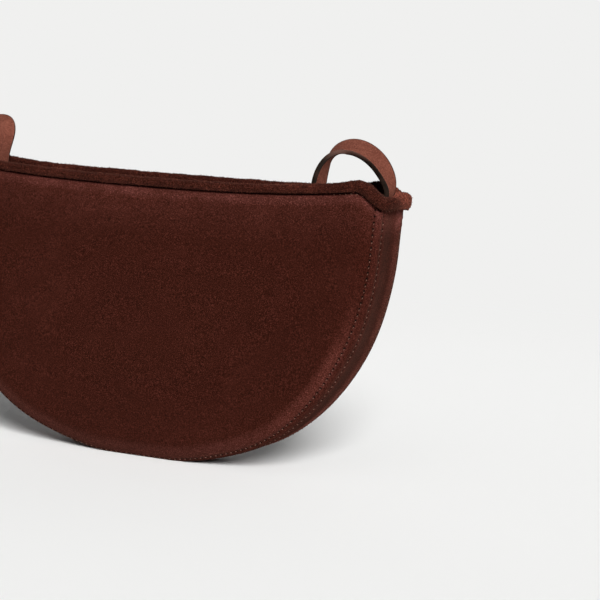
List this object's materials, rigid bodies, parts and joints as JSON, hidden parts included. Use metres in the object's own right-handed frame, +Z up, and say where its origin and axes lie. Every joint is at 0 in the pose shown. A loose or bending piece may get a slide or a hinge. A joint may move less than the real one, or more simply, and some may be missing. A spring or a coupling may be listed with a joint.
{
  "type": "half moon bag",
  "caption": "Small suede half-moon shoulder bag with dished walls on a narrow gusset, padded rim binding, open mouth with magnetic snap, inside zip pocket and flat strap tucked in.",
  "frame": {"origin": "middle of the bag's footprint, at the bottom of the gusset", "axes": "+X along the bag's length, -Y out of the front wall, +Z up"},
  "size_m": [0.348, 0.0498, 0.2138],
  "materials": {
    "suede_brown": "napped suede",
    "suede_dark": "napped suede",
    "suede_strap": "napped suede with painted edges",
    "board": "fibre stiffening board",
    "lining_cloth": "plain woven cotton",
    "cord_cotton": "twisted cotton cord",
    "thread": "waxed thread",
    "tape_cloth": "woven zip tape",
    "brass_satin": "satin",
    "steel_plated": "plated, satin"
  },
  "bodies": {
    "bag": {"front_panel": "suede_brown", "back_panel": "suede_brown", "gusset": "suede_brown", "front_board": "board", "back_board": "board", "gusset_board": "board", "front_lining": "lining_cloth", "back_lining": "lining_cloth", "gusset_lining": "lining_cloth", "front_facing": "suede_dark", "back_facing": "suede_dark", "rim_binding": "suede_dark", "rim_filler_cord": "cord_cotton", "front_seam_thread": "thread", "back_seam_thread": "thread", "strap_outer_layer": "suede_strap", "strap_inner_layer": "suede_strap", "strap_anchor_patches": "suede_dark", "slip_pocket": "lining_cloth", "zip_pocket": "lining_cloth", "zip_tape": "tape_cloth", "zip_teeth": "brass_satin", "zip_end_stops": "brass_satin", "snap_socket": "steel_plated", "snap_stud": "steel_plated", "snap_washers": "steel_plated"},
    "slider": {"zip_slider": "brass_satin"},
    "puller": {"zip_puller": "brass_satin"}
  },
  "joints": [
    {"name": "zip_slide", "type": "slide", "parent": "bag", "child": "slider", "axis": [1, 0, 0], "range_m": [0, 0.136]},
    {"name": "puller_hinge", "type": "hinge", "parent": "slider", "child": "puller", "pos_m": [-0.07, 0.01416, 0.1295], "axis": [0, 0, -1], "range_deg": [0, 150]}
  ]
}
